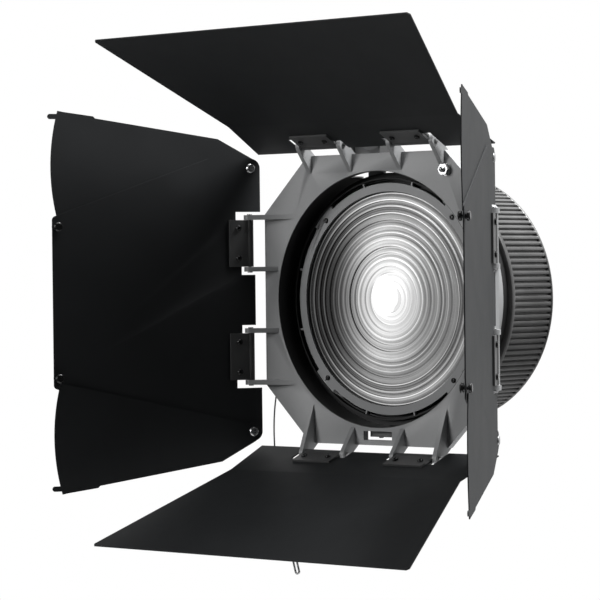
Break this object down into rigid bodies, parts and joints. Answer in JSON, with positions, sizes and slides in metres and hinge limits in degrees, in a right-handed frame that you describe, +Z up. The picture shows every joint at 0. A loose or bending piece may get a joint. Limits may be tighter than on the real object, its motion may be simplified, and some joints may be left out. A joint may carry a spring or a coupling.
{
  "type": "fresnel spotlight",
  "caption": "Fresnel lens head for a studio light, with a ribbed focus ring, a bayonet rear mount and a four-leaf barn door whose side leaves carry fold-out flaps.",
  "frame": {"origin": "centre of the rear mount face, on the beam axis", "axes": "-Y is the way the beam leaves, +Y points back into the lamp, +Z is up, +X is to the right seen from in front"},
  "size_m": [0.4766, 0.3651, 0.496],
  "materials": {
    "cast_grey": "satin grey paint",
    "frame_grey": "satin grey powder coat",
    "housing_black": "matte black paint",
    "grip_rubber": "ribbed satin rubber",
    "machined": "machined",
    "bright_steel": "bright plated",
    "black_screw": "black oxide",
    "leaf_black": "fine matte powder coat",
    "plate_black": "satin powder coat",
    "lens_glass": "stepped clear glass",
    "condenser_glass": "polished clear glass",
    "gasket": "black rubber",
    "slide_plastic": "slippery plastic",
    "cable_steel": "stranded wire"
  },
  "bodies": {
    "head": {"mount_plate": "housing_black", "bayonet_ring": "bright_steel", "mount_screws": "black_screw", "rear_housing": "housing_black", "guide_tube": "machined", "guide_screws": "black_screw", "front_housing": "housing_black", "front_housing_screws": "black_screw", "fresnel_lens": "lens_glass", "lens_gasket": "gasket", "lens_bezel": "frame_grey", "bezel_screws": "black_screw", "rear_slide_ring": "slide_plastic", "front_slide_ring": "slide_plastic", "door_frame": "frame_grey", "frame_clip": "plate_black", "clip_screws": "black_screw", "lock_stud": "bright_steel", "lock_nut": "bright_steel", "hinge_pins": "bright_steel", "latch_housing": "plate_black", "latch_spring": "bright_steel", "latch_guide_screws": "black_screw", "cable_anchor": "bright_steel", "safety_cable": "cable_steel", "cable_ferrule": "bright_steel", "cable_eye": "bright_steel"},
    "focus_ring": {"focus_grip": "grip_rubber", "cam_sleeve": "machined"},
    "carriage": {"lens_carriage": "machined", "condenser_lens": "condenser_glass", "condenser_retainer": "housing_black", "follower_pins": "bright_steel"},
    "latch": {"frame_latch": "cast_grey"},
    "top_door": {"top_leaf": "leaf_black", "top_hinge_plates": "plate_black", "top_backing_plates": "plate_black", "top_leaf_screws": "black_screw"},
    "bottom_door": {"bottom_leaf": "leaf_black", "bottom_hinge_plates": "plate_black", "bottom_backing_plates": "plate_black", "bottom_leaf_screws": "black_screw"},
    "left_door": {"left_leaf": "leaf_black", "left_hinge_plates": "plate_black", "left_backing_plates": "plate_black", "left_leaf_screws": "black_screw", "left_flap_rivets": "bright_steel", "left_catch_studs": "black_screw"},
    "right_door": {"right_leaf": "leaf_black", "right_hinge_plates": "plate_black", "right_backing_plates": "plate_black", "right_leaf_screws": "black_screw", "right_flap_rivets": "bright_steel", "right_catch_studs": "black_screw"},
    "left_upper_flap_body": {"left_upper_flap": "leaf_black"},
    "left_lower_flap_body": {"left_lower_flap": "leaf_black"},
    "right_upper_flap_body": {"right_upper_flap": "leaf_black"},
    "right_lower_flap_body": {"right_lower_flap": "leaf_black"}
  },
  "joints": [
    {"name": "focus_turn", "type": "hinge", "parent": "head", "child": "focus_ring", "pos_m": [0, 0, 0], "axis": [0, -1, 0], "range_deg": [-45, 45]},
    {"name": "carriage_slide", "type": "slide", "parent": "head", "child": "carriage", "axis": [0, -1, 0], "range_m": [-0.0151, 0.0151]},
    {"name": "latch_lift", "type": "slide", "parent": "head", "child": "latch", "axis": [0, 0, 1], "range_m": [0, 0.005], "stiffness_N_per_m": 500, "springref_m": -0.004, "deforming": ["latch_spring"]},
    {"name": "top_door_hinge", "type": "hinge", "parent": "head", "child": "top_door", "pos_m": [0, -0.1771, 0.1415], "axis": [-1, 0, 0], "range_deg": [-70, 63]},
    {"name": "bottom_door_hinge", "type": "hinge", "parent": "head", "child": "bottom_door", "pos_m": [0, -0.1771, -0.1415], "axis": [1, 0, 0], "range_deg": [-64, 69]},
    {"name": "left_door_hinge", "type": "hinge", "parent": "head", "child": "left_door", "pos_m": [-0.1415, -0.1771, 0], "axis": [0, 0, 1], "range_deg": [-61, 54]},
    {"name": "right_door_hinge", "type": "hinge", "parent": "head", "child": "right_door", "pos_m": [0.1415, -0.1771, 0], "axis": [0, 0, -1], "range_deg": [-61, 54]},
    {"name": "left_upper_flap_pivot", "type": "hinge", "parent": "left_door", "child": "left_upper_flap_body", "pos_m": [-0.14077, -0.17579, 0.1235], "axis": [-0.8746, 0.4848, 0], "range_deg": [-27.5, 0]},
    {"name": "left_lower_flap_pivot", "type": "hinge", "parent": "left_door", "child": "left_lower_flap_body", "pos_m": [-0.14077, -0.17579, -0.1235], "axis": [0.8746, -0.4848, 0], "range_deg": [-27.5, 0]},
    {"name": "right_upper_flap_pivot", "type": "hinge", "parent": "right_door", "child": "right_upper_flap_body", "pos_m": [0.14077, -0.17579, 0.1235], "axis": [-0.8746, -0.4848, 0], "range_deg": [-27.5, 0]},
    {"name": "right_lower_flap_pivot", "type": "hinge", "parent": "right_door", "child": "right_lower_flap_body", "pos_m": [0.14077, -0.17579, -0.1235], "axis": [0.8746, 0.4848, 0], "range_deg": [-27.5, 0]}
  ],
  "couplings": [
    {"joint": "carriage_slide", "follows": "focus_turn", "m_per_rad": 0.019099}
  ]
}
